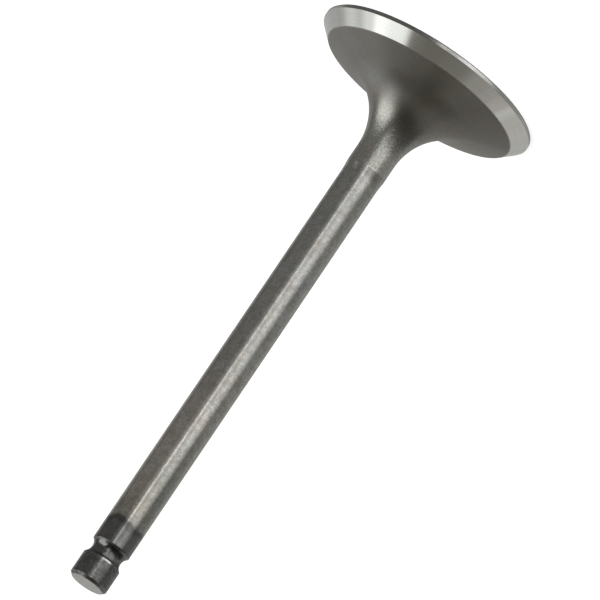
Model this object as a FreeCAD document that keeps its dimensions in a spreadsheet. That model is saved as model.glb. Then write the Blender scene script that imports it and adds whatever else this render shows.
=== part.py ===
import FreeCAD, Part
import os

# Poppet valve of a piston engine, one forging turned and ground all over.
# It stands on the flat face of its head.  The stem is the +Z axis and the
# origin is the centre of the flat face.  Millimetres throughout.

doc = FreeCAD.newDocument("engine_valve")

# ---------------------------------------------------------------- sizes
dims = doc.addObject("Spreadsheet::Sheet", "dims")
SIZES = [
    # alias, value, what it is
    ("total_length",   121.1, "flat face to stem end"),
    ("head_radius",     23.4, "largest radius, at the margin"),
    ("margin_top",      0.92, "height where the margin ends and the seat starts"),
    ("seat_width",      2.53, "seat, measured along the radius"),
    ("seat_angle",      45.0, "seat cone, from the flat face"),
    ("back_angle",      17.1, "back of the head, from the flat face"),
    ("neck_sweep",      14.1, "radius of the curve from head to neck"),
    ("neck_radius",     4.17, "forged neck, just under the ground stem"),
    ("ground_start",    22.8, "height where the grinding of the stem starts"),
    ("ground_full",     24.6, "height where the stem has its full finish"),
    ("stem_radius",      4.0, "ground stem"),
    ("groove_middle",  114.3, "height of the keeper groove"),
    ("groove_floor",    3.22, "radius left at the bottom of the groove"),
    ("groove_round",    2.13, "radius of the groove's own section"),
    ("groove_break",    0.06, "depth of the break on each lip of the groove"),
    ("groove_lip_angle", 27.0, "slope of that break, from the stem's side"),
    ("groove_clear",     0.3, "how far the groove's section runs outside the stem"),
    ("tip_chamfer",      0.6, "chamfer at the stem end"),
    ("face_break",      0.25, "break between flat face and margin"),
]
for row, (alias, value, note) in enumerate(SIZES, start=1):
    dims.set("A%d" % row, note)
    dims.set("B%d" % row, str(value))
    dims.setAlias("B%d" % row, alias)
doc.recompute()


def size(alias):
    return float(dims.get(alias))


# ---------------------------------------------------------------- the body
body = doc.addObject("PartDesign::Body", "valve")
body.Label = "valve"


def origin_plane(role):
    for feature in body.Origin.OriginFeatures:
        if feature.Role == role:
            return feature
    raise RuntimeError("no origin plane " + role)


def sketch_on_xz(name):
    sk = body.newObject("Sketcher::SketchObject", name)
    sk.AttachmentSupport = (origin_plane("XZ_Plane"), [""])
    sk.MapMode = "FlatFace"
    return sk


def bind(sk, index, name, expression):
    sk.renameConstraint(index, name)
    sk.setExpression("Constraints." + name, expression)


V = FreeCAD.Vector
import Sketcher
import math

# ---------------------------------------------------------------- turned blank
# Half section, from the centre of the flat face outwards and up to the tip:
# flat face, margin, 45 degree seat, shallow cone of the back, one sweep into
# the neck, straight neck, short run-out, ground stem, stem end.
head = size("head_radius")
margin = size("margin_top")
seat_in = head - size("seat_width")
seat_top = margin + size("seat_width") * math.tan(math.radians(size("seat_angle")))
back = math.radians(size("back_angle"))
sweep = size("neck_sweep")
neck = size("neck_radius")
sweep_x = neck + sweep
sweep_z = seat_top + (sweep + (seat_in - sweep_x) * math.sin(back)) / math.cos(back)
touch_x = sweep_x - sweep * math.sin(back)
touch_z = sweep_z - sweep * math.cos(back)
stem = size("stem_radius")
z_start = size("ground_start")
z_full = size("ground_full")
top = size("total_length")

sk = sketch_on_xz("half_section")
P = [(0, 0), (head, 0), (head, margin), (seat_in, seat_top), (touch_x, touch_z),
     (neck, sweep_z), (neck, z_start), (stem, z_full), (stem, top), (0, top)]


def line(a, b):
    return Part.LineSegment(V(P[a][0], P[a][1], 0), V(P[b][0], P[b][1], 0))


face_line = sk.addGeometry(line(0, 1), False)
margin_line = sk.addGeometry(line(1, 2), False)
seat_line = sk.addGeometry(line(2, 3), False)
back_line = sk.addGeometry(line(3, 4), False)
sweep_arc = sk.addGeometry(
    Part.ArcOfCircle(Part.Circle(V(sweep_x, sweep_z, 0), V(0, 0, 1), sweep),
                     math.pi, 1.5 * math.pi - back), False)
neck_line = sk.addGeometry(line(5, 6), False)
runout_line = sk.addGeometry(line(6, 7), False)
stem_line = sk.addGeometry(line(7, 8), False)
tip_line = sk.addGeometry(line(8, 9), False)
axis_line = sk.addGeometry(line(9, 0), False)

C = Sketcher.Constraint
sk.addConstraint(C("Coincident", face_line, 1, -1, 1))
for a, b in ((face_line, margin_line), (margin_line, seat_line), (seat_line, back_line)):
    sk.addConstraint(C("Coincident", a, 2, b, 1))
# the arc runs from the neck (its start) down to the back of the head (its end)
sk.addConstraint(C("Tangent", back_line, 2, sweep_arc, 2))
sk.addConstraint(C("Tangent", neck_line, 1, sweep_arc, 1))
for a, b in ((neck_line, runout_line), (runout_line, stem_line),
             (stem_line, tip_line), (tip_line, axis_line)):
    sk.addConstraint(C("Coincident", a, 2, b, 1))
sk.addConstraint(C("Coincident", axis_line, 2, face_line, 1))
sk.addConstraint(C("Horizontal", face_line))
sk.addConstraint(C("Vertical", margin_line))
sk.addConstraint(C("Vertical", neck_line))
sk.addConstraint(C("Vertical", stem_line))
sk.addConstraint(C("Horizontal", tip_line))
sk.addConstraint(C("Vertical", axis_line))
bind(sk, sk.addConstraint(C("DistanceX", -1, 1, face_line, 2, head)), "head_r", "dims.head_radius")
bind(sk, sk.addConstraint(C("DistanceY", -1, 1, margin_line, 2, margin)), "margin_z", "dims.margin_top")
bind(sk, sk.addConstraint(C("DistanceX", seat_line, 2, seat_line, 1, size("seat_width"))), "seat_w", "dims.seat_width")
bind(sk, sk.addConstraint(C("DistanceY", seat_line, 1, seat_line, 2, seat_top - margin)), "seat_h",
     "dims.seat_width * tan(dims.seat_angle * 1 deg)")
bind(sk, sk.addConstraint(C("Radius", sweep_arc, sweep)), "sweep_r", "dims.neck_sweep")
bind(sk, sk.addConstraint(C("DistanceX", -1, 1, neck_line, 2, neck)), "neck_r", "dims.neck_radius")
bind(sk, sk.addConstraint(C("Angle", back_line, math.pi - back)), "back_a",
     "180 deg - dims.back_angle * 1 deg")
bind(sk, sk.addConstraint(C("DistanceY", -1, 1, neck_line, 2, z_start)), "start_z", "dims.ground_start")
bind(sk, sk.addConstraint(C("DistanceX", -1, 1, runout_line, 2, stem)), "stem_r", "dims.stem_radius")
bind(sk, sk.addConstraint(C("DistanceY", -1, 1, runout_line, 2, z_full)), "full_z", "dims.ground_full")
bind(sk, sk.addConstraint(C("DistanceY", -1, 1, axis_line, 1, top)), "top_z", "dims.total_length")
doc.recompute()
print("half section solve", sk.solve(), "fully constrained", sk.FullyConstrained)

blank = body.newObject("PartDesign::Revolution", "turned_blank")
blank.Profile = sk
blank.ReferenceAxis = (sk, ["V_Axis"])
blank.Angle = 360
doc.recompute()
print("blank volume", blank.Shape.Volume)

# ---------------------------------------------------------------- keeper groove
# One round-bottomed groove near the tip.  Its section is an arc whose two ends
# flare out through a small break on each lip, closed outside the stem.
g_round = size("groove_round")
g_mid = size("groove_middle")
g_centre = size("groove_floor") + g_round
lip_r = stem - size("groove_break")
lip_half = math.sqrt(g_round ** 2 - (g_centre - lip_r) ** 2)
open_r = stem + size("groove_clear")
flare = (open_r - lip_r) / math.tan(math.radians(size("groove_lip_angle")))
lip_turn = math.atan2(lip_half, g_centre - lip_r)

gsk = sketch_on_xz("groove_section")
G = [(lip_r, g_mid + lip_half), (open_r, g_mid + lip_half + flare),
     (open_r, g_mid - lip_half - flare), (lip_r, g_mid - lip_half)]
floor_arc = gsk.addGeometry(
    Part.ArcOfCircle(Part.Circle(V(g_centre, g_mid, 0), V(0, 0, 1), g_round),
                     math.pi - lip_turn, math.pi + lip_turn), False)
upper_lip = gsk.addGeometry(Part.LineSegment(V(*G[0], 0), V(*G[1], 0)), False)
outside = gsk.addGeometry(Part.LineSegment(V(*G[1], 0), V(*G[2], 0)), False)
lower_lip = gsk.addGeometry(Part.LineSegment(V(*G[2], 0), V(*G[3], 0)), False)
# the arc starts at the upper lip and ends at the lower one
gsk.addConstraint(C("Coincident", floor_arc, 1, upper_lip, 1))
gsk.addConstraint(C("Coincident", upper_lip, 2, outside, 1))
gsk.addConstraint(C("Coincident", outside, 2, lower_lip, 1))
gsk.addConstraint(C("Coincident", lower_lip, 2, floor_arc, 2))
gsk.addConstraint(C("Vertical", outside))
bind(gsk, gsk.addConstraint(C("Radius", floor_arc, g_round)), "round_r", "dims.groove_round")
bind(gsk, gsk.addConstraint(C("DistanceX", -1, 1, floor_arc, 3, g_centre)),
     "centre_r", "dims.groove_floor + dims.groove_round")
bind(gsk, gsk.addConstraint(C("DistanceY", -1, 1, floor_arc, 3, g_mid)), "centre_z", "dims.groove_middle")
bind(gsk, gsk.addConstraint(C("DistanceX", -1, 1, upper_lip, 1, lip_r)),
     "upper_r", "dims.stem_radius - dims.groove_break")
bind(gsk, gsk.addConstraint(C("DistanceX", -1, 1, lower_lip, 2, lip_r)),
     "lower_r", "dims.stem_radius - dims.groove_break")
bind(gsk, gsk.addConstraint(C("DistanceX", -1, 1, outside, 1, open_r)),
     "open_r", "dims.stem_radius + dims.groove_clear")
bind(gsk, gsk.addConstraint(C("DistanceY", upper_lip, 1, upper_lip, 2, flare)), "upper_flare",
     "(dims.groove_clear + dims.groove_break) / tan(dims.groove_lip_angle * 1 deg)")
bind(gsk, gsk.addConstraint(C("DistanceY", lower_lip, 1, lower_lip, 2, flare)), "lower_flare",
     "(dims.groove_clear + dims.groove_break) / tan(dims.groove_lip_angle * 1 deg)")
doc.recompute()
print("groove section solve", gsk.solve(), "fully constrained", gsk.FullyConstrained)

groove = body.newObject("PartDesign::Groove", "keeper_groove")
groove.Profile = gsk
groove.ReferenceAxis = (gsk, ["V_Axis"])
groove.Angle = 360
doc.recompute()
cut = blank.Shape.Volume - groove.Shape.Volume
print("groove takes away", cut)
if not 20 < cut < 90:
    raise RuntimeError("the keeper groove cut %.2f mm3" % cut)


# ---------------------------------------------------------------- edges
def circle_edges(shape, height, radius, tol=0.02):
    found = []
    for i, edge in enumerate(shape.Edges, start=1):
        curve = edge.Curve
        if hasattr(curve, "Radius") and curve.TypeId == "Part::GeomCircle":
            if abs(curve.Radius - radius) < tol and abs(curve.Center.z - height) < tol \
                    and abs(curve.Center.x) < tol and abs(curve.Center.y) < tol:
                found.append("Edge%d" % i)
    return found


def dress(kind, name, base, edges, alias):
    if not edges:
        raise RuntimeError("no edge for " + name)
    feature = body.newObject(kind, name)
    feature.Base = (base, edges)
    prop = "Size" if kind.endswith("Chamfer") else "Radius"
    feature.setExpression(prop, "dims." + alias)
    doc.recompute()
    return feature


tip = dress("PartDesign::Chamfer", "tip_edge", groove,
            circle_edges(groove.Shape, top, stem), "tip_chamfer")
rim = dress("PartDesign::Chamfer", "face_edge", tip,
            circle_edges(tip.Shape, 0.0, head), "face_break")
body.Tip = rim
doc.recompute()

# ---------------------------------------------------------------- checks
for obj in doc.Objects:
    for word in ("Invalid", "Error"):
        if word in obj.State:
            raise RuntimeError("%s is %s" % (obj.Label, obj.State))
shape = body.Shape
if shape.isNull() or not shape.isValid() or len(shape.Solids) != 1:
    raise RuntimeError("the valve is not one valid solid")
box = shape.BoundBox
print("box", round(box.XLength, 3), round(box.YLength, 3), round(box.ZLength, 3), "z from", round(box.ZMin, 4))
print("volume", round(shape.Volume, 2), "mm3, faces", len(shape.Faces))
if abs(box.ZMin) > 1e-3 or abs(box.ZLength - top) > 1e-3 or abs(box.XLength - 2 * head) > 0.01:
    raise RuntimeError("the valve is not the size the sheet gives")

# ---------------------------------------------------------------- output
os.makedirs("parts", exist_ok=True)
body.Shape.exportStep("parts/valve.step")
print("written parts/valve.step")
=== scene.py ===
import bpy
import math
from mathutils import Matrix, Vector


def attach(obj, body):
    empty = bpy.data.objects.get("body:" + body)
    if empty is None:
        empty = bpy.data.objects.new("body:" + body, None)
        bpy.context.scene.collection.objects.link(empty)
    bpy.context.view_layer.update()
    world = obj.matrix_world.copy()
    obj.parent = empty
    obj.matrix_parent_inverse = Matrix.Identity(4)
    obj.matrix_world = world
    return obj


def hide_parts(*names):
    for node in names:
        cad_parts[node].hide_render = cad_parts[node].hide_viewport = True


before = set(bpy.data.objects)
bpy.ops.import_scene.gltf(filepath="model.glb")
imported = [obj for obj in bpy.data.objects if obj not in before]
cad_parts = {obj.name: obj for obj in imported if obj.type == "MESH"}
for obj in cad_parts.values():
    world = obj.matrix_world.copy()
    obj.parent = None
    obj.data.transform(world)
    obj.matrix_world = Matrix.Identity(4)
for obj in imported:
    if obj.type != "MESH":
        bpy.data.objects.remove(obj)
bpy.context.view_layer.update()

scene = bpy.context.scene
MM = 0.001

# ------------------------------------------------------------------ camera
# Eye 1.6 m from the stem's middle, 15.6 degrees above the horizon, and rolled
# so that the stem runs to the lower left corner.
cam_data = bpy.data.cameras.new("camera")
cam = bpy.data.objects.new("camera", cam_data)
scene.collection.objects.link(cam)
cam_data.sensor_width = 36.0
cam_data.lens = 502.27
cam_data.clip_start = 0.1
cam_data.clip_end = 30.0
turn = Matrix(((-0.82868061, 0.55971719, 0.00211241),
               (-0.15530550, -0.22630602, -0.96159544),
               (-0.53774342, -0.79718352, 0.27446275)))
cam.matrix_world = (Matrix.Translation((0.0, -1.54084774, 0.49112559))
                    @ turn.to_quaternion().to_matrix().to_4x4())
scene.camera = cam
scene.view_settings.view_transform = "Standard"
scene.view_settings.look = "None"
scene.view_settings.exposure = 0.0
scene.view_settings.gamma = 1.0


# ------------------------------------------------------------------ node helpers
class Tree:
    """Short names for the nodes that the materials and the world are made of."""

    def __init__(self, tree):
        self.tree = tree
        self.n = tree.nodes
        self.n.clear()

    def new(self, kind, **settings):
        node = self.n.new(kind)
        for key, value in settings.items():
            setattr(node, key, value)
        return node

    def put(self, socket, value):
        if value is None:
            return
        if isinstance(value, bpy.types.NodeSocket):
            self.tree.links.new(value, socket)
        else:
            socket.default_value = value

    def math(self, op, a, b=None, c=None, clamp=False):
        node = self.new("ShaderNodeMath", operation=op, use_clamp=clamp)
        for i, value in enumerate((a, b, c)):
            self.put(node.inputs[i], value)
        return node.outputs[0]

    def vec(self, op, a, b=None, c=None, scale=None):
        node = self.new("ShaderNodeVectorMath", operation=op)
        for i, value in enumerate((a, b, c)):
            self.put(node.inputs[i], value)
        if scale is not None:
            self.put(node.inputs["Scale"], scale)
        return node.outputs["Value" if op in ("DOT_PRODUCT", "LENGTH", "DISTANCE") else "Vector"]

    def ramp(self, value, low, high, to_low=0.0, to_high=1.0, smooth=True):
        node = self.new("ShaderNodeMapRange", clamp=True,
                        interpolation_type="SMOOTHSTEP" if smooth else "LINEAR")
        self.put(node.inputs["Value"], value)
        self.put(node.inputs["From Min"], low)
        self.put(node.inputs["From Max"], high)
        self.put(node.inputs["To Min"], to_low)
        self.put(node.inputs["To Max"], to_high)
        return node.outputs["Result"]

    def noise(self, vector, scale=1.0, detail=2.0, rough=0.5, distort=0.0):
        node = self.new("ShaderNodeTexNoise", noise_dimensions="3D")
        self.put(node.inputs["Vector"], vector)
        self.put(node.inputs["Scale"], scale)
        self.put(node.inputs["Detail"], detail)
        self.put(node.inputs["Roughness"], rough)
        self.put(node.inputs["Distortion"], distort)
        return node.outputs["Fac"]

    def cells(self, vector, scale=1.0, feature="F1", random=1.0):
        node = self.new("ShaderNodeTexVoronoi", voronoi_dimensions="3D", feature=feature)
        self.put(node.inputs["Vector"], vector)
        self.put(node.inputs["Scale"], scale)
        self.put(node.inputs["Randomness"], random)
        return node.outputs["Distance"]

    def mix(self, factor, a, b, blend="MIX"):
        node = self.new("ShaderNodeMix", data_type="RGBA", blend_type=blend, clamp_factor=True)
        self.put(node.inputs[0], factor)
        self.put(node.inputs[6], a)
        self.put(node.inputs[7], b)
        return node.outputs[2]

    def blend(self, factor, a, b):
        node = self.new("ShaderNodeMix", data_type="FLOAT", clamp_factor=True)
        self.put(node.inputs[0], factor)
        self.put(node.inputs[2], a)
        self.put(node.inputs[3], b)
        return node.outputs[0]

    def join(self, x, y, z):
        node = self.new("ShaderNodeCombineXYZ")
        for i, value in enumerate((x, y, z)):
            self.put(node.inputs[i], value)
        return node.outputs[0]

    def bump(self, height, depth, strength=1.0, normal=None):
        node = self.new("ShaderNodeBump")
        self.put(node.inputs["Strength"], strength)
        self.put(node.inputs["Distance"], depth)
        self.put(node.inputs["Height"], height)
        self.put(node.inputs["Normal"], normal)
        return node.outputs[0]


def grey(value, warm=0.0, green=0.0):
    """A steel colour: linear grey, warmer with warm, greener with green."""
    return (value * (1 + warm), value * (1 + green), value * (1 - warm), 1.0)


# ------------------------------------------------------------------ the valve's section
# The half section of the CAD model in millimetres (radius, height), followed
# from the middle of the flat face outwards and up to the middle of the stem
# end.  Each corner gets the tiny rounding that a real edge has.
HEAD, MARGIN, SEAT, BACK = 23.4, 0.92, 2.53, math.radians(17.1)
SWEEP, NECK, STEM, TOP = 14.1, 4.17, 4.0, 121.1
SEAT_R, SEAT_Z = HEAD - SEAT, MARGIN + SEAT
SWEEP_R = NECK + SWEEP
SWEEP_Z = SEAT_Z + (SWEEP + (SEAT_R - SWEEP_R) * math.sin(BACK)) / math.cos(BACK)
GROOVE_Z, GROOVE_FLOOR, GROOVE_ROUND, LIP = 114.3, 3.22, 2.13, 0.06
GROOVE_R = GROOVE_FLOOR + GROOVE_ROUND
LIP_HALF = math.sqrt(GROOVE_ROUND ** 2 - (GROOVE_R - (STEM - LIP)) ** 2)
LIP_RISE = LIP / math.tan(math.radians(27.0))

FACE, RIM, SEATED, FORGED, GROUND, DARK, END = range(7)


class Section:
    """Rings of the lathe: radius, height, outward normal and the finish of the band that follows."""

    def __init__(self):
        self.rings = []

    def ring(self, r, z, nr, nz, finish):
        self.rings.append((r, z, nr, nz, finish))

    def straight(self, a, b, finish, steps=1, ends=(True, True)):
        """Rings of a straight run, without its last one, so that runs join."""
        dr, dz = b[0] - a[0], b[1] - a[1]
        length = math.hypot(dr, dz)
        nr, nz = dz / length, -dr / length
        for i in range(steps + 1):
            s = i / steps
            if (i == 0 and not ends[0]) or (i == steps and not ends[1]):
                continue
            self.ring(a[0] + dr * s, a[1] + dz * s, nr, nz, finish)

    def arc(self, centre, radius, start, stop, finish, steps, hollow):
        """Rings of an arc. start and stop are the outward normal's angles from the radius."""
        for i in range(steps + 1):
            t = start + (stop - start) * i / steps
            nr, nz = math.cos(t), math.sin(t)
            side = -1.0 if hollow else 1.0
            self.ring(centre[0] + side * radius * nr, centre[1] + side * radius * nz, nr, nz, finish)


def rounded(points, finishes, radii, steps, section):
    """A run of straight lines whose inner corners are rounded by radii (0 keeps the corner)."""
    count = len(points)
    trims = [0.0] * count
    bends = [None] * count
    for i in range(1, count - 1):
        a, p, b = points[i - 1], points[i], points[i + 1]
        ua = Vector((p[0] - a[0], p[1] - a[1])).normalized()
        ub = Vector((b[0] - p[0], b[1] - p[1])).normalized()
        angle = math.atan2(ua.x * ub.y - ua.y * ub.x, ua.dot(ub))
        trims[i] = radii[i] * math.tan(abs(angle) / 2)
        bends[i] = (ua, ub, angle)
    for i in range(count - 1):
        a, b = Vector(points[i]), Vector(points[i + 1])
        u = (b - a).normalized()
        start, stop = a + u * trims[i], b - u * trims[i + 1]
        section.straight(start, stop, finishes[i], steps[i])
        if i + 1 < count - 1 and radii[i + 1] > 0:
            ua, ub, angle = bends[i + 1]
            n_in = Vector((ua.y, -ua.x))
            hollow = angle < 0
            side = -1.0 if not hollow else 1.0
            centre = stop + n_in * side * radii[i + 1]
            t0 = math.atan2(n_in.y, n_in.x)
            pieces = 4
            for j in range(1, pieces):
                t = t0 + angle * j / pieces
                nr, nz = math.cos(t), math.sin(t)
                at = centre - Vector((nr, nz)) * side * radii[i + 1]
                section.ring(at.x, at.y, nr, nz, finishes[i + 1] if j > 1 else finishes[i])


section = Section()
touch = (SWEEP_R - SWEEP * math.sin(BACK), SWEEP_Z - SWEEP * math.cos(BACK))
# flat face, break, margin, seat, cone of the back
rounded([(0.35, 0.0), (HEAD - 0.25, 0.0), (HEAD, 0.25), (HEAD, MARGIN), (SEAT_R, SEAT_Z), touch],
        [FACE, RIM, RIM, SEATED, FORGED], [0, 0.05, 0.05, 0.05, 0.06, 0], [16, 2, 2, 6, 9], section)
# sweep from head to neck
section.arc((SWEEP_R, SWEEP_Z), SWEEP, math.pi / 2 - BACK, 0.0, FORGED, 46, hollow=True)
# neck, run-out of the grinding, stem, up to the groove's lower lip
rounded([(NECK, SWEEP_Z), (NECK, 22.8), (STEM, 24.6), (STEM, GROOVE_Z - LIP_HALF - LIP_RISE),
         (STEM - LIP, GROOVE_Z - LIP_HALF)],
        [FORGED, GROUND, GROUND, DARK], [0, 0.12, 14.0, 0.06, 0], [4, 3, 44, 1], section)
lip_turn = math.atan2(LIP_HALF, GROOVE_R - (STEM - LIP))
# the groove's own arc: its normals lean towards the groove's middle
section.arc((GROOVE_R, GROOVE_Z), GROOVE_ROUND, lip_turn, -lip_turn, DARK, 22, hollow=True)
rounded([(STEM - LIP, GROOVE_Z + LIP_HALF), (STEM, GROOVE_Z + LIP_HALF + LIP_RISE),
         (STEM, TOP - 0.6), (STEM - 0.6, TOP), (0.3, TOP)],
        [DARK, DARK, DARK, END], [0, 0.06, 0.06, 0.05, 0], [1, 6, 2, 6], section)


# Where each finish lies on a flat map of 1024 units, as left, bottom, right, top,
# and the two flat ends as the middle of a disc and its units per millimetre.
STRIPS = {RIM: (12, 690, 1012, 706), SEATED: (12, 718, 1012, 760), FORGED: (12, 772, 1012, 1012),
          "lower stem": (12, 12, 312, 676), "upper stem": (326, 12, 626, 676), DARK: (640, 150, 1012, 290)}
DISCS = {FACE: (826, 490, -7.9), END: (706, 72, 16.0)}


def laid_out(clean, turnings):
    """The map's places for the lathe's faces: strips run round the valve from left to right and
    along its section upwards, with the stem cut into two of them."""
    around = len(turnings)
    along = [0.0]
    for a, b in zip(clean, clean[1:]):
        along.append(along[-1] + math.hypot(b[0] - a[0], b[1] - a[1]))
    kinds = [ring[4] for ring in clean[:-1]]
    stem = [i for i, kind in enumerate(kinds) if kind == GROUND]
    half = (along[stem[0]] + along[stem[-1] + 1]) / 2
    for i in stem:
        kinds[i] = "lower stem" if along[i] < half else "upper stem"

    def on_disc(kind, r, k):
        x, y, size = DISCS[kind]
        c, s = turnings[k % around]
        return ((x + size * r * c) / 1024, (y + abs(size) * r * s) / 1024)

    places = []
    for i, kind in enumerate(kinds):
        if kind in STRIPS:
            left, bottom, right, top = STRIPS[kind]
            first = kinds.index(kind)
            last = len(kinds) - kinds[::-1].index(kind)
            low, high = ((bottom + (top - bottom) * (along[j] - along[first]) / (along[last] - along[first])) / 1024
                         for j in (i, i + 1))
        for k in range(around):
            if kind in STRIPS:
                a, b = ((left + (right - left) * n / around) / 1024 for n in (k, k + 1))
                places += [(a, low), (b, low), (b, high), (a, high)]
            else:
                near, far = clean[i][0], clean[i + 1][0]
                places += [on_disc(kind, near, k), on_disc(kind, near, k + 1),
                           on_disc(kind, far, k + 1), on_disc(kind, far, k)]
    for k in range(around):
        places += [on_disc(FACE, 0.0, k), on_disc(FACE, clean[0][0], k + 1), on_disc(FACE, clean[0][0], k)]
        places += [on_disc(END, 0.0, k), on_disc(END, clean[-1][0], k), on_disc(END, clean[-1][0], k + 1)]
    return places


def lathe(name, rings, around):
    """A closed turned mesh from the rings, with exact normals, its finishes as material slots
    and a flat map of its own for them."""
    verts, faces, finish, normals = [], [], [], []
    clean = []      # radius, height, normal of the band below, normal of the band above, finish
    for r, z, nr, nz, kind in rings:
        if clean and abs(clean[-1][0] - r) + abs(clean[-1][1] - z) < 1e-6:
            clean[-1] = (r, z, clean[-1][2], (nr, nz), kind)    # two runs meet in one ring
        else:
            clean.append((r, z, (nr, nz), (nr, nz), kind))
    turnings = [(math.cos(2 * math.pi * k / around), math.sin(2 * math.pi * k / around)) for k in range(around)]
    for r, z, _, _, _ in clean:
        for c, s in turnings:
            verts.append((r * c * MM, r * s * MM, z * MM))
    for i in range(len(clean) - 1):
        a, b = clean[i][3], clean[i + 1][2]
        for k in range(around):
            m = (k + 1) % around
            faces.append((i * around + k, i * around + m, (i + 1) * around + m, (i + 1) * around + k))
            finish.append(clean[i][4])
            for (nr, nz), j in ((a, k), (a, m), (b, m), (b, k)):
                normals.append((nr * turnings[j][0], nr * turnings[j][1], nz))
    # middles of the two flat ends
    low, high = len(verts), len(verts) + 1
    verts += [(0.0, 0.0, clean[0][1] * MM), (0.0, 0.0, clean[-1][1] * MM)]
    last = (len(clean) - 1) * around
    for k in range(around):
        m = (k + 1) % around
        faces.append((low, m, k))
        finish.append(clean[0][4])
        faces.append((high, last + k, last + m))
        finish.append(END)
        normals += [(0.0, 0.0, -1.0)] * 3 + [(0.0, 0.0, 1.0)] * 3
    mesh = bpy.data.meshes.new(name)
    mesh.from_pydata(verts, [], faces)
    mesh.polygons.foreach_set("material_index", finish)
    mesh.polygons.foreach_set("use_smooth", [True] * len(faces))
    mesh.update()
    layer = mesh.uv_layers.new(name="OFBake")
    layer.data.foreach_set("uv", [part for place in laid_out(clean, turnings) for part in place])
    mesh.normals_split_custom_set(normals)
    return mesh


AROUND = 360
mesh = lathe("valve_turned", section.rings, AROUND)
valve = bpy.data.objects.new("valve_turned", mesh)
scene.collection.objects.link(valve)
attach(valve, "root")
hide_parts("valve")


# ------------------------------------------------------------------ finishes
def steel(name):
    material = bpy.data.materials.new(name)
    material.use_nodes = True
    t = Tree(material.node_tree)
    shader = t.new("ShaderNodeBsdfPrincipled")
    out = t.new("ShaderNodeOutputMaterial")
    t.tree.links.new(shader.outputs[0], out.inputs["Surface"])
    shader.inputs["Metallic"].default_value = 1.0
    place = t.new("ShaderNodeTexCoord").outputs["Object"]
    t.place = t.vec("SCALE", place, scale=1000.0)      # millimetres
    split = t.new("ShaderNodeSeparateXYZ")
    t.put(split.inputs[0], t.place)
    t.x, t.y, t.z = split.outputs
    t.radius = t.vec("LENGTH", t.vec("MULTIPLY", t.place, (1.0, 1.0, 0.0)))
    t.outward = t.vec("NORMALIZE", t.vec("MULTIPLY", t.place, (1.0, 1.0, 0.0)))
    t.shader = shader
    return material, t


def facing(t, degrees, near, far):
    """1 on the flank that faces an azimuth (from the front, to the picture's right), 0 away from it."""
    a = math.radians(degrees)
    toward = t.vec("DOT_PRODUCT", t.outward, (-math.sin(a), -math.cos(a), 0.0))
    return t.ramp(toward, math.cos(math.radians(far)), math.cos(math.radians(near)))


# Forged and shot blasted: cone, sweep and neck. The blasting is a fine pebbling, the
# neck is brighter and smoother than the cone, and slow patches drift warm and cool.
forged, t = steel("forged_blasted")
grain = t.noise(t.place, 2.9, 2.0, 0.55)
pebble = t.cells(t.place, 2.6, feature="SMOOTH_F1")
patch = t.ramp(t.noise(t.place, 0.2, 2.0, 0.5), 0.34, 0.66)
stain = t.ramp(t.noise(t.vec("ADD", t.place, (31.0, 7.0, 12.0)), 0.45, 3.0, 0.6), 0.52, 0.74)
rise = t.ramp(t.z, 9.0, 19.0)
low_cone = t.ramp(t.z, 3.7, 6.2, 1.0, 0.0)
cone = t.mix(patch, grey(0.214, 0.032, 0.006), grey(0.226, 0.026, 0.016))
cone = t.mix(t.math("MULTIPLY", low_cone, 0.25), cone, grey(0.275, 0.034, 0.012))
bright = t.mix(patch, grey(0.340, 0.022, 0.012), grey(0.372, 0.018, 0.020))
colour = t.mix(rise, cone, bright)
calm = t.mix(t.ramp(grain, 0.3, 0.7), (0.962, 0.96, 0.955, 1.0), (1.038, 1.038, 1.036, 1.0))
lively = t.mix(t.ramp(grain, 0.32, 0.68), (0.77, 0.765, 0.75, 1.0), (1.22, 1.22, 1.21, 1.0))
colour = t.mix(1.0, colour, t.mix(t.ramp(t.z, 6.0, 17.0), calm, lively), "MULTIPLY")
tinge = t.noise(t.vec("ADD", t.place, (2.0, 50.0, 8.0)), 0.3, 2.0, 0.5)
colour = t.mix(1.0, colour, t.mix(t.ramp(tinge, 0.36, 0.64), (1.03, 0.985, 0.975, 1.0), (0.985, 1.01, 1.0, 1.0)), "MULTIPLY")
colour = t.mix(t.math("MULTIPLY", stain, 0.14), colour, grey(0.17, 0.05, 0.01))
# painted shade darkens the right flank below the neck; painted light lightens the front below the neck and the left
# flank near the seat
below_neck = t.ramp(t.z, 8.5, 12.0, 1.0, 0.0)
colour = t.mix(t.math("MULTIPLY", below_neck, facing(t, 60.0, 18.0, 36.0)), colour, t.mix(1.0, colour, (0.82, 0.805, 0.805, 1.0), "MULTIPLY"))
colour = t.mix(t.math("MULTIPLY", below_neck, facing(t, 6.0, 8.0, 22.0)), colour, t.mix(1.0, colour, (1.13, 1.11, 1.08, 1.0), "MULTIPLY"))
colour = t.mix(t.math("MULTIPLY", t.ramp(t.z, 5.5, 7.5, 1.0, 0.0), facing(t, -32.0, 8.0, 24.0)), colour, t.mix(1.0, colour, (1.12, 1.12, 1.12, 1.0), "MULTIPLY"))
# a painted highlight lightens the hollow of the sweep on the left flank
painted_sweep_highlight = t.math("MULTIPLY", t.math("MULTIPLY", t.ramp(t.z, 9.6, 11.2), t.ramp(t.z, 12.4, 14.4, 1.0, 0.0)), facing(t, -35.0, 8.0, 30.0))
colour = t.mix(painted_sweep_highlight, colour, t.mix(1.0, colour, (1.18, 1.18, 1.18, 1.0), "MULTIPLY"))
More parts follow.
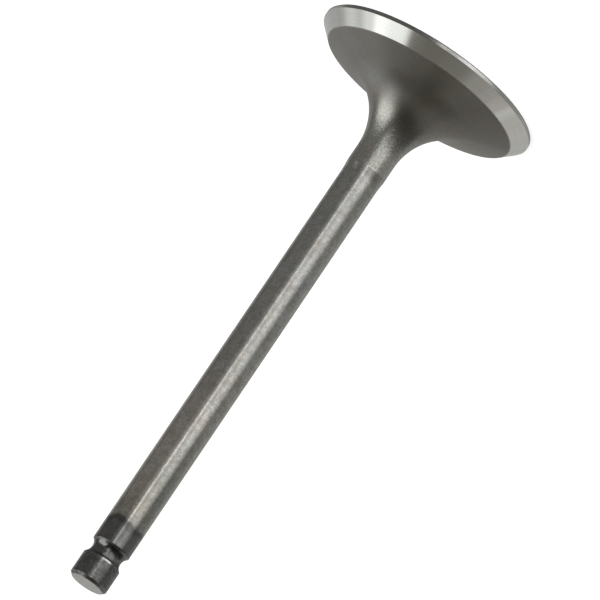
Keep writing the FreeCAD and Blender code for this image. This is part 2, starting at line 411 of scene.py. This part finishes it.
# the seat's grinding leaves a thin bright edge on the forging
worn = t.math("MULTIPLY", t.ramp(t.z, 3.47, 3.56, 1.0, 0.0), t.ramp(grain, 0.4, 0.6, 0.5, 1.0))
colour = t.mix(worn, colour, grey(0.42, 0.01))
t.put(t.shader.inputs["Base Color"], colour)
matt = t.math("ADD", t.ramp(t.z, 5.5, 11.5, 0.42, 0.335), t.ramp(t.z, 11.5, 20.0, 0.0, -0.03))
t.put(t.shader.inputs["Roughness"], t.math("ADD", matt, t.ramp(grain, 0.3, 0.7, 0.03, -0.03)))
height = t.math("ADD", grain, t.math("MULTIPLY", pebble, 0.45))
height = t.math("MULTIPLY", height, t.ramp(t.z, 6.0, 18.0, 0.2, 1.95))
t.put(t.shader.inputs["Normal"], t.bump(height, 0.000024, 1.0))

# Ground seat: fine lines around it, and the faint sectors that a chattering stone leaves.
seat, t = steel("ground_seat")
lines = t.noise(t.join(t.math("MULTIPLY", t.x, 0.12), t.math("MULTIPLY", t.y, 0.12), t.math("MULTIPLY", t.z, 11.0)), 1.0, 3.0, 0.6)
angle = t.math("MULTIPLY", t.math("ARCTAN2", t.y, t.x), 1.0 / math.pi)
drift = t.noise(t.vec("SCALE", t.outward, scale=2.2), 1.0, 2.0, 0.5)
sector = t.math("PINGPONG", t.math("ADD", t.math("MULTIPLY", angle, 13.0), t.math("MULTIPLY", drift, 5.0)), 1.0)
facet = t.ramp(t.noise(t.vec("SCALE", t.outward, scale=7.0), 1.0, 0.0, 0.5), 0.44, 0.56)
t.put(t.shader.inputs["Base Color"],
      t.mix(1.0, t.mix(facet, (0.588, 0.580, 0.574, 1.0), (0.604, 0.616, 0.606, 1.0)),
            t.mix(t.ramp(lines, 0.3, 0.7), (0.96, 0.96, 0.955, 1.0), (1.04, 1.04, 1.04, 1.0)), "MULTIPLY"))
t.put(t.shader.inputs["Roughness"], t.math("ADD", t.ramp(facet, 0.0, 1.0, 0.145, 0.162), t.ramp(lines, 0.3, 0.7, 0.008, -0.008)))
height = t.math("ADD", t.math("MULTIPLY", lines, 0.16), sector)
t.put(t.shader.inputs["Normal"], t.bump(height, 0.000010, 1.0))

# Turned margin and the break under it.
rim, t = steel("turned_margin")
lines = t.noise(t.join(t.math("MULTIPLY", t.x, 0.2), t.math("MULTIPLY", t.y, 0.2), t.math("MULTIPLY", t.z, 9.0)), 1.0, 3.0, 0.6)
chips = t.ramp(t.noise(t.place, 2.4, 2.0, 0.6), 0.42, 0.62)
# painted light: the margin's grey is raised on the right flank and on the far left flank
flank = t.mix(facing(t, 38.0, 22.0, 41.0), grey(0.282, 0.004, 0.004), grey(0.430, 0.002, 0.004))
flank = t.mix(facing(t, -88.0, 16.0, 36.0), flank, grey(0.53, 0.002, 0.004))
t.put(t.shader.inputs["Base Color"],
      t.mix(1.0, t.mix(1.0, flank, t.mix(chips, (0.92, 0.92, 0.92, 1.0), (1.08, 1.08, 1.08, 1.0)), "MULTIPLY"),
            t.mix(t.ramp(lines, 0.3, 0.7), (0.92, 0.92, 0.92, 1.0), (1.08, 1.08, 1.08, 1.0)), "MULTIPLY"))
t.put(t.shader.inputs["Roughness"], t.math("ADD", t.ramp(lines, 0.3, 0.7, 0.17, 0.21), t.ramp(chips, 0.0, 1.0, 0.02, -0.01)))
t.put(t.shader.inputs["Normal"], t.bump(t.math("ADD", lines, t.math("MULTIPLY", chips, 0.5)), 0.000006, 1.0))

# turned flat face
face, t = steel("turned_face")
rings_noise = t.noise(t.join(t.math("MULTIPLY", t.radius, 6.0), 0.0, 0.0), 1.0, 2.0, 0.5)
t.put(t.shader.inputs["Base Color"], t.mix(t.ramp(rings_noise, 0.3, 0.7), grey(0.44, 0.02), grey(0.52, 0.015)))
t.put(t.shader.inputs["Roughness"], t.ramp(rings_noise, 0.3, 0.7, 0.28, 0.38))
t.put(t.shader.inputs["Normal"], t.bump(rings_noise, 0.00002, 1.0))


def along_stem(t, turn=0.5):
    """Grinding marks run around the stem, so its shine spreads along it."""
    t.shader.inputs["Anisotropic"].default_value = turn
    t.shader.inputs["Anisotropic Rotation"].default_value = 0.25
    t.put(t.shader.inputs["Tangent"], t.new("ShaderNodeTangent", direction_type="RADIAL", axis="Z").outputs[0])


def stretched(t, across, along, detail=3.0, rough=0.6):
    """Noise in turns per millimetre across the stem and along it."""
    return t.noise(t.join(t.math("MULTIPLY", t.x, across), t.math("MULTIPLY", t.y, across),
                          t.math("MULTIPLY", t.z, along)), 1.0, detail, rough)


# Ground stem: fine grinding, a soft mottle, slow warm and cool drifts, browned where
# it nears the hardened tip, and the ragged edge of the hardening itself.
ground, t = steel("ground_stem")
lines = stretched(t, 0.4, 5.5, 2.0, 0.5)
mottle = t.noise(t.place, 1.15, 3.0, 0.6)
cloud = stretched(t, 0.35, 0.16, 2.0, 0.5)
drift = t.noise(t.vec("ADD", t.place, (70.0, 20.0, 1.0)), 0.42, 2.0, 0.6)
shift = t.math("SUBTRACT", t.noise(t.vec("ADD", t.place, (9.0, 4.0, 0.0)), 0.5, 2.0, 0.55), 0.5)
# the hardening's edge hangs lower on one flank and is ragged all round
hang = t.math("MULTIPLY", facing(t, -27.0, 4.0, 30.0), 0.8)
edge = t.math("ADD", t.math("ADD", t.z, hang), t.math("MULTIPLY", shift, 1.9))
black = t.ramp(edge, 106.7, 108.6)
band = t.math("MULTIPLY", t.ramp(edge, 107.2, 108.1), t.ramp(edge, 108.3, 109.5, 1.0, 0.0))
late = t.math("ADD", t.z, t.math("MULTIPLY", shift, 14.0))
# painted light makes the stem lighter on the front-left flank and on the back, below the hardening
painted_light_flanks = t.math("MULTIPLY", t.math("MULTIPLY", t.ramp(late, 64.0, 98.0), t.ramp(late, 102.0, 107.0, 1.0, 0.0)), facing(t, -34.0, 14.0, 40.0))
painted_light_flanks = t.math("MAXIMUM", painted_light_flanks, t.math("MULTIPLY", t.math("MULTIPLY", t.ramp(late, 66.0, 90.0), t.ramp(late, 94.0, 104.0, 1.0, 0.0)), facing(t, 150.0, 14.0, 55.0)))
# painted shade darkens the front-right flank near the hardening
painted_shade_flank = t.math("MULTIPLY", t.ramp(late, 86.0, 97.0), facing(t, 34.0, 24.0, 42.0))
brown = t.math("MULTIPLY", t.ramp(late, 86.0, 103.5),
               t.ramp(t.math("ADD", t.x, t.math("MULTIPLY", shift, 7.0)), -2.6, 1.2, 0.3, 1.0))
clean = t.mix(t.ramp(cloud, 0.34, 0.66), grey(0.331, 0.022, 0.010), grey(0.342, 0.004, 0.014))
clean = t.mix(t.math("MULTIPLY", t.ramp(t.z, 45.0, 80.0), 0.6), clean, grey(0.350, 0.036, 0.008))
clean = t.mix(t.math("MULTIPLY", painted_light_flanks, 0.95), clean, (0.470, 0.447, 0.432, 1.0))
clean = t.mix(t.math("MULTIPLY", painted_shade_flank, 0.85), clean, (0.272, 0.278, 0.266, 1.0))
clean = t.mix(t.math("MULTIPLY", brown, 0.24), clean, (0.325, 0.292, 0.238, 1.0))
# painted light: a lighter spot on the left flank just above the grinding's run-out
painted_light_spot = t.math("MULTIPLY", t.math("MULTIPLY", t.ramp(t.z, 22.75, 23.05), t.ramp(t.z, 24.2, 24.6, 1.0, 0.0)), facing(t, -34.5, 3.5, 9.0))
clean = t.mix(t.math("MULTIPLY", painted_light_spot, t.ramp(mottle, 0.35, 0.6, 0.5, 1.0)), clean, (0.53, 0.52, 0.51, 1.0))
# painted highlight: a narrow lighter strip down the front of the hardened zone
painted_highlight_strip = facing(t, -4.0, 3.5, 10.0)
colour = t.mix(black, clean, t.mix(painted_highlight_strip, grey(0.156, -0.008, -0.004), grey(0.192, -0.008, -0.004)))
colour = t.mix(t.math("MULTIPLY", band, 0.85), colour, grey(0.098, 0.012))
colour = t.mix(1.0, colour, t.mix(t.ramp(mottle, 0.3, 0.7), (0.88, 0.876, 0.868, 1.0), (1.112, 1.112, 1.116, 1.0)), "MULTIPLY")
colour = t.mix(1.0, colour, t.mix(t.ramp(lines, 0.3, 0.7), (0.955, 0.955, 0.955, 1.0), (1.045, 1.045, 1.045, 1.0)), "MULTIPLY")
fleck = t.noise(t.vec("ADD", t.place, (40.0, 1.0, 3.0)), 2.7, 1.0, 0.5)
colour = t.mix(1.0, colour, t.mix(t.ramp(fleck, 0.34, 0.66), (0.925, 0.925, 0.92, 1.0), (1.078, 1.078, 1.08, 1.0)), "MULTIPLY")
colour = t.mix(1.0, colour, t.mix(t.ramp(drift, 0.34, 0.66), (0.935, 0.935, 0.925, 1.0), (1.06, 1.06, 1.065, 1.0)), "MULTIPLY")
tinge = stretched(t, 0.42, 0.2, 1.0, 0.5)
colour = t.mix(1.0, colour, t.mix(t.ramp(tinge, 0.36, 0.64), (1.018, 0.994, 0.972, 1.0), (0.990, 1.004, 1.016, 1.0)), "MULTIPLY")
t.put(t.shader.inputs["Base Color"], colour)
shine = t.math("ADD", t.ramp(mottle, 0.3, 0.7, 0.02, -0.02), t.ramp(t.z, 60.0, 106.0, 0.255, 0.205))
t.put(t.shader.inputs["Roughness"], t.math("SUBTRACT", shine, t.math("MULTIPLY", black, 0.015)))
t.put(t.shader.inputs["Normal"], t.bump(t.math("ADD", t.math("MULTIPLY", mottle, 0.8), t.math("MULTIPLY", lines, 0.25)), 0.000014, 1.0))
along_stem(t)

# Hardened tip: land, groove and chamfer, dark with oxide, bare where the edges rub.
dark, t = steel("hardened_tip")
mottle = t.noise(t.place, 1.5, 3.0, 0.6)
smear = t.noise(t.vec("ADD", t.place, (3.0, 17.0, 5.0)), 0.55, 2.0, 0.5)
base = t.mix(t.ramp(smear, 0.36, 0.64), grey(0.122, -0.01, -0.004), grey(0.146, -0.012, -0.002))
fleck = t.noise(t.vec("ADD", t.place, (40.0, 1.0, 3.0)), 2.9, 1.0, 0.5)
# painted shade darkens a flank a little right of the front; a painted highlight lightens a narrow strip just left of
# the front
base = t.mix(1.0, base, t.mix(facing(t, 19.0, 11.0, 22.0), (1.0, 1.0, 1.0, 1.0), (0.80, 0.80, 0.80, 1.0)), "MULTIPLY")
base = t.mix(1.0, base, t.mix(facing(t, -4.0, 3.5, 10.0), (1.0, 1.0, 1.0, 1.0), (1.18, 1.18, 1.18, 1.0)), "MULTIPLY")
base = t.mix(1.0, base, t.mix(t.ramp(mottle, 0.3, 0.7), (0.78, 0.78, 0.78, 1.0), (1.23, 1.23, 1.23, 1.0)), "MULTIPLY")
base = t.mix(1.0, base, t.mix(t.ramp(fleck, 0.34, 0.66), (0.86, 0.86, 0.86, 1.0), (1.16, 1.16, 1.16, 1.0)), "MULTIPLY")


def rubbed(t, mottle, low, high, soft):
    """1 between two heights, fading over soft, broken up by the mottle."""
    inside = t.math("MULTIPLY", t.ramp(t.z, low - soft, low), t.ramp(t.z, high, high + soft, 1.0, 0.0))
    return t.math("MULTIPLY", inside, t.ramp(mottle, 0.36, 0.56, 0.35, 1.0))


lip = GROOVE_Z + LIP_HALF
# the cotters rub the lip in three places
touched = t.math("MAXIMUM", facing(t, 10.0, 7.0, 18.0), t.math("MAXIMUM", facing(t, 138.0, 8.0, 30.0), facing(t, -112.0, 8.0, 26.0)))
rub = t.math("MULTIPLY", rubbed(t, mottle, lip - 0.02, lip + LIP_RISE + 0.22, 0.12), t.math("ADD", t.math("MULTIPLY", touched, 0.92), 0.08))
rub = t.math("MAXIMUM", rub, t.math("MULTIPLY", rubbed(t, mottle, TOP - 0.66, TOP - 0.52, 0.08), 0.12))
rub = t.math("MAXIMUM", rub, t.math("MULTIPLY", rubbed(t, mottle, TOP - 0.05, TOP, 0.05), 0.5))
t.put(t.shader.inputs["Base Color"], t.mix(rub, base, grey(0.56, 0.004)))
hollow = t.math("MULTIPLY", t.ramp(t.z, GROOVE_Z - LIP_HALF, GROOVE_Z - LIP_HALF + 0.2), t.ramp(t.z, lip - 0.2, lip, 1.0, 0.0))
satin = t.math("SUBTRACT", t.ramp(mottle, 0.3, 0.7, 0.28, 0.24), t.math("MULTIPLY", hollow, 0.06))
t.put(t.shader.inputs["Roughness"], satin)
t.put(t.shader.inputs["Normal"], t.bump(mottle, 0.000018, 1.0))

# Ground stem end.
end, t = steel("ground_end")
fine = t.noise(t.place, 2.6, 3.0, 0.6)
scratch = t.noise(t.join(t.math("MULTIPLY", t.x, 0.5), t.math("MULTIPLY", t.y, 6.0), 0.0), 1.0, 2.0, 0.5)
t.put(t.shader.inputs["Base Color"],
      t.mix(1.0, t.mix(t.ramp(fine, 0.3, 0.7), grey(0.43, 0.006, 0.006), grey(0.52, 0.004, 0.006)),
            t.mix(t.ramp(scratch, 0.35, 0.65), (0.95, 0.95, 0.95, 1.0), (1.05, 1.05, 1.05, 1.0)), "MULTIPLY"))
t.put(t.shader.inputs["Roughness"], t.ramp(fine, 0.3, 0.7, 0.38, 0.31))
t.put(t.shader.inputs["Normal"], t.bump(t.math("ADD", fine, t.math("MULTIPLY", scratch, 0.3)), 0.00001, 1.0))

for material in (face, rim, seat, forged, ground, dark, end):
    mesh.materials.append(material)

# ------------------------------------------------------------------ floor
floor_mesh = bpy.data.meshes.new("floor")
spokes = 64
floor_mesh.from_pydata([(6.0 * math.cos(2 * math.pi * k / spokes), 6.0 * math.sin(2 * math.pi * k / spokes), 0.0)
                        for k in range(spokes)], [], [tuple(range(spokes))])
floor = bpy.data.objects.new("floor", floor_mesh)
scene.collection.objects.link(floor)
paper = bpy.data.materials.new("white_paper")
paper.use_nodes = True
t = Tree(paper.node_tree)
diffuse = t.new("ShaderNodeBsdfDiffuse")
diffuse.inputs["Color"].default_value = (0.8, 0.8, 0.8, 1.0)
glow = t.new("ShaderNodeEmission")
glow.inputs["Color"].default_value = (1.0, 1.0, 1.0, 1.0)
glow.inputs["Strength"].default_value = 0.78
both = t.new("ShaderNodeAddShader")
t.put(both.inputs[0], diffuse.outputs[0])
t.put(both.inputs[1], glow.outputs[0])
out = t.new("ShaderNodeOutputMaterial")
t.put(out.inputs["Surface"], both.outputs[0])
floor_mesh.materials.append(paper)
floor.visible_glossy = False
floor.visible_diffuse = False
floor.visible_shadow = False

# ------------------------------------------------------------------ studio light
# Soft boxes far away, seen only by reflection. Azimuth is from the camera's
# side, positive to the picture's right; half sizes are tangents.
BOXES = [
    # azimuth, elevation, half width, half height, roll, softness, strength, colour
    (-73.8, 31.8, 0.543, 0.301, -0.1, 0.172, 2.116, (1.0, 1.003, 0.98)),
    (-88.0, 55.8, 0.249, 0.162, -2.3, 0.026, 1.275, (1.0, 1.003, 0.985)),
    (-114.5, 42.2, 0.085, 0.085, 0.0, 0.050, 0.250, (1.0, 1.003, 0.985)),
    (-139.5, 38.6, 0.385, 0.257, 16.9, 0.084, 0.481, (1.0, 1.0, 0.985)),
    (23.5, -42.8, 0.550, 0.729, 0.1, 0.281, 1.064, (1.0, 0.995, 0.975)),
    (-5.8, -7.4, 0.065, 0.516, 0.3, 0.034, 1.348, (1.0, 0.99, 0.97)),
    (25.0, -13.6, 0.183, 0.381, -2.2, 0.099, 0.482, (1.0, 1.0, 0.985)),
    (-9.9, 0.1, 0.312, 0.307, -0.3, 0.167, 0.394, (1.0, 0.985, 0.96)),
    (144.8, 12.2, 0.692, 0.780, -1.2, 0.109, 0.369, (1.0, 0.995, 0.955)),
    (-153.5, 12.3, 0.527, 0.595, -2.1, 0.125, 0.398, (1.0, 1.0, 0.995)),
    (-4.7, 77.7, 0.552, 0.193, -9.1, 0.123, 0.183, (1.0, 0.978, 0.905)),
    (94.2, 52.6, 0.320, 0.261, -16.6, 0.202, 0.370, (1.0, 0.975, 0.925)),
    (-72.8, -18.2, 1.034, 0.694, -31.0, 0.432, 0.121, (1.0, 0.99, 0.94)),
    (75.7, -30.6, 0.815, 0.426, 20.9, 0.344, 0.255, (0.985, 1.0, 0.965)),
    (79.3, -44.5, 0.703, 0.493, 4.1, 0.156, 0.152, (0.985, 1.0, 0.965)),
    (60.8, 7.9, 0.283, 0.200, 0.1, 0.224, 0.053, (1.0, 1.0, 0.98)),
    (122.8, 29.4, 0.492, 0.322, 10.3, 0.157, 0.082, (1.0, 0.97, 0.92)),
    (14.0, -41.3, 0.086, 0.610, 0.0, 0.089, 0.033, (1.0, 1.0, 1.0)),
    (176.0, 54.0, 0.340, 0.300, 0.0, 0.250, 0.085, (1.0, 0.90, 0.70)),
    (100.5, 48.5, 0.085, 0.200, -30.0, 0.040, 0.110, (1.0, 0.975, 0.93)),
    (141.0, 19.0, 0.420, 0.130, -42.0, 0.060, 0.075, (1.0, 0.99, 0.96)),
]
world = bpy.data.worlds.new("studio")
scene.world = world
world.use_nodes = True
t = Tree(world.node_tree)
look = t.new("ShaderNodeTexCoord").outputs["Generated"]
split = t.new("ShaderNodeSeparateXYZ")
t.put(split.inputs[0], look)
total = t.mix(t.ramp(split.outputs[2], -1.0, 1.0, smooth=False), (0.2125, 0.211, 0.204, 1.0), (0.044, 0.037, 0.024, 1.0))
for azimuth, elevation, half_w, half_h, roll, soft, strength, colour in BOXES:
    a, e, g = math.radians(azimuth), math.radians(elevation), math.radians(roll)
    centre = Vector((-math.sin(a) * math.cos(e), -math.cos(a) * math.cos(e), math.sin(e)))
    side = Vector((-math.cos(a), math.sin(a), 0.0))
    up = centre.cross(side)
    if up.z < 0:
        up = -up
    side, up = side * math.cos(g) + up * math.sin(g), up * math.cos(g) - side * math.sin(g)
    ahead = t.vec("DOT_PRODUCT", look, centre)
    reach = t.math("MAXIMUM", ahead, 0.02)
    x = t.math("ABSOLUTE", t.math("DIVIDE", t.vec("DOT_PRODUCT", look, side), reach))
    y = t.math("ABSOLUTE", t.math("DIVIDE", t.vec("DOT_PRODUCT", look, up), reach))
    inside = t.math("MULTIPLY", t.ramp(x, half_w - soft, half_w + soft, 1.0, 0.0),
                    t.ramp(y, half_h - soft, half_h + soft, 1.0, 0.0))
    inside = t.math("MULTIPLY", inside, t.math("GREATER_THAN", ahead, 0.0))
    total = t.vec("ADD", total, t.vec("SCALE", tuple(c * strength for c in colour), scale=inside))
background = t.new("ShaderNodeBackground")
t.put(background.inputs["Color"], total)
paper_white = t.new("ShaderNodeBackground")
paper_white.inputs["Color"].default_value = (1.0, 1.0, 1.0, 1.0)
choose = t.new("ShaderNodeMixShader")
t.put(choose.inputs[0], t.new("ShaderNodeLightPath").outputs["Is Camera Ray"])
t.put(choose.inputs[1], background.outputs[0])
t.put(choose.inputs[2], paper_white.outputs[0])
out = t.new("ShaderNodeOutputWorld")
t.put(out.inputs["Surface"], choose.outputs[0])
